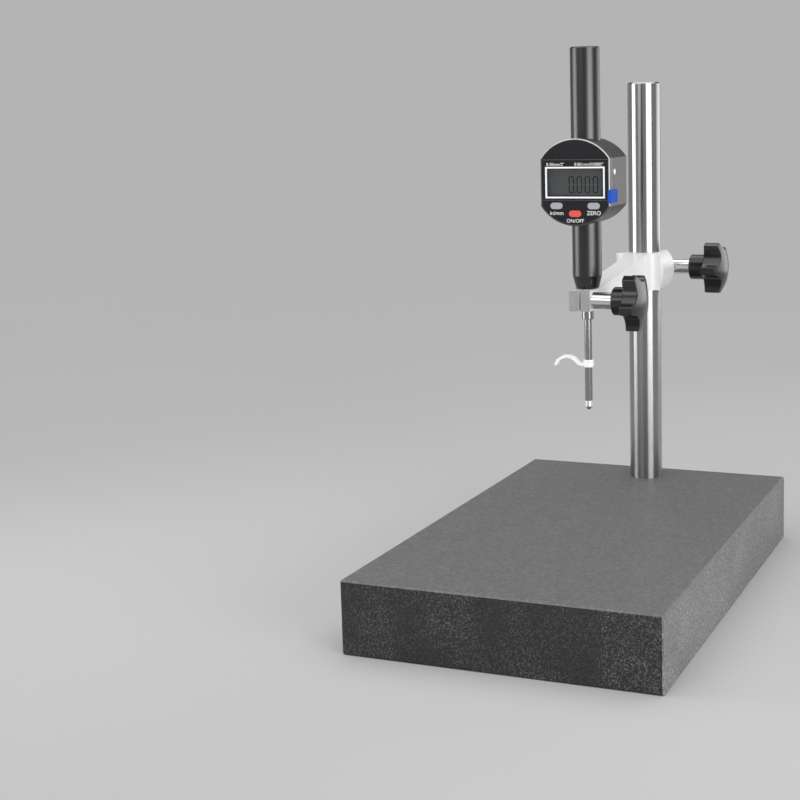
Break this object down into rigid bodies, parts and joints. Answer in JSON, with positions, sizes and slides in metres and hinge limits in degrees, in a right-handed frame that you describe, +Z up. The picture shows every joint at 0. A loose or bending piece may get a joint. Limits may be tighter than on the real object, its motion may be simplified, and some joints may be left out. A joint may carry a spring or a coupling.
{
  "type": "dial indicator stand",
  "caption": "Granite comparator base with a round steel column, a clamped arm and a long-travel digital indicator with a lift lever.",
  "frame": {"origin": "centre of the granite base's underside", "axes": "+Z up, +Y from the front of the base to the column, +X to the right, where the knobs point"},
  "size_m": [0.2, 0.3455, 0.3618],
  "materials": {
    "granite": "honed",
    "ground_steel": "ground",
    "bright_steel": "polished",
    "zinc_steel": "plated",
    "white_paint": "satin",
    "black_gloss": "gloss",
    "black_tube": "satin",
    "case_grey": "satin",
    "face_black": "gloss",
    "white_plastic": "satin",
    "clear_glass": "clear",
    "display": "matt",
    "grey_key": "satin",
    "red_key": "satin",
    "blue_plastic": "satin",
    "brass": "turned",
    "board_green": "matt",
    "black_rubber": "matt",
    "inner_black": "matt"
  },
  "bodies": {
    "base": {"granite_base": "granite", "column_washer": "zinc_steel", "column_bolt": "zinc_steel"},
    "column": {"column": "ground_steel"},
    "arm": {"arm_casting": "white_paint", "rear_spacer": "bright_steel", "front_spacer": "bright_steel"},
    "rear_clamp": {"rear_stud": "zinc_steel", "rear_knob_insert": "brass", "rear_knob": "black_gloss"},
    "front_clamp": {"front_stud": "zinc_steel", "front_knob_insert": "brass", "front_knob": "black_gloss"},
    "indicator": {"case_shell": "case_grey", "front_bezel": "case_grey", "face_plate": "face_black", "lcd_frame": "white_plastic", "lcd_lens": "clear_glass", "lcd_panel": "display", "button_mat": "black_rubber", "circuit_board": "board_green", "board_screws": "zinc_steel", "cell_holder": "inner_black", "button_cell": "bright_steel", "sensor_head": "inner_black", "data_socket": "inner_black", "back_cover": "case_grey", "cover_gasket": "black_rubber", "cover_screws": "zinc_steel", "side_plug": "white_plastic", "upper_tube": "black_tube", "tube_cap": "black_tube", "upper_bush": "brass", "lower_sleeve": "black_tube", "sleeve_nose": "black_tube", "stem": "bright_steel", "guide_rod": "bright_steel"},
    "unit_key": {"unit_button": "grey_key"},
    "zero_key": {"zero_button": "grey_key"},
    "power_key": {"power_button": "red_key"},
    "side_cover": {"port_cover": "blue_plastic"},
    "plunger": {"spindle": "bright_steel", "scale_carrier": "inner_black", "scale_strip": "clear_glass", "return_spring": "zinc_steel", "lift_lever": "white_plastic", "contact_point": "bright_steel", "contact_ball": "bright_steel"}
  },
  "joints": [
    {"name": "arm_swing", "type": "hinge", "parent": "base", "child": "column", "pos_m": [0, 0.14, 0.0465], "axis": [0, 0, 1], "range_deg": [-180, 180]},
    {"name": "arm_height", "type": "slide", "parent": "column", "child": "arm", "axis": [0, 0, 1], "range_m": [-0.075, 0.12]},
    {"name": "indicator_turn", "type": "hinge", "parent": "arm", "child": "indicator", "pos_m": [0, 0.007, 0.1978], "axis": [0, 0, 1], "range_deg": [-180, 180]},
    {"name": "rear_knob_turn", "type": "hinge", "parent": "arm", "child": "rear_clamp", "pos_m": [0.0412, 0.163, 0.2033], "axis": [1, 0, 0], "range_deg": [0, 300]},
    {"name": "front_knob_turn", "type": "hinge", "parent": "arm", "child": "front_clamp", "pos_m": [0.0307, -0.0037, 0.1978], "axis": [1, 0, 0], "range_deg": [0, 300]},
    {"name": "unit_press", "type": "slide", "parent": "indicator", "child": "unit_key", "axis": [0, 1, 0], "range_m": [0, 0.0008], "stiffness_N_per_m": 700},
    {"name": "zero_press", "type": "slide", "parent": "indicator", "child": "zero_key", "axis": [0, 1, 0], "range_m": [0, 0.0008], "stiffness_N_per_m": 700},
    {"name": "power_press", "type": "slide", "parent": "indicator", "child": "power_key", "axis": [0, 1, 0], "range_m": [0, 0.0008], "stiffness_N_per_m": 700},
    {"name": "side_cover_pull", "type": "slide", "parent": "indicator", "child": "side_cover", "axis": [1, 0, 0], "range_m": [0, 0.006]},
    {"name": "spindle_lift", "type": "slide", "parent": "indicator", "child": "plunger", "axis": [0, 0, 1], "range_m": [0, 0.0255], "stiffness_N_per_m": 20, "springref_m": -0.05, "deforming": ["return_spring"]}
  ]
}
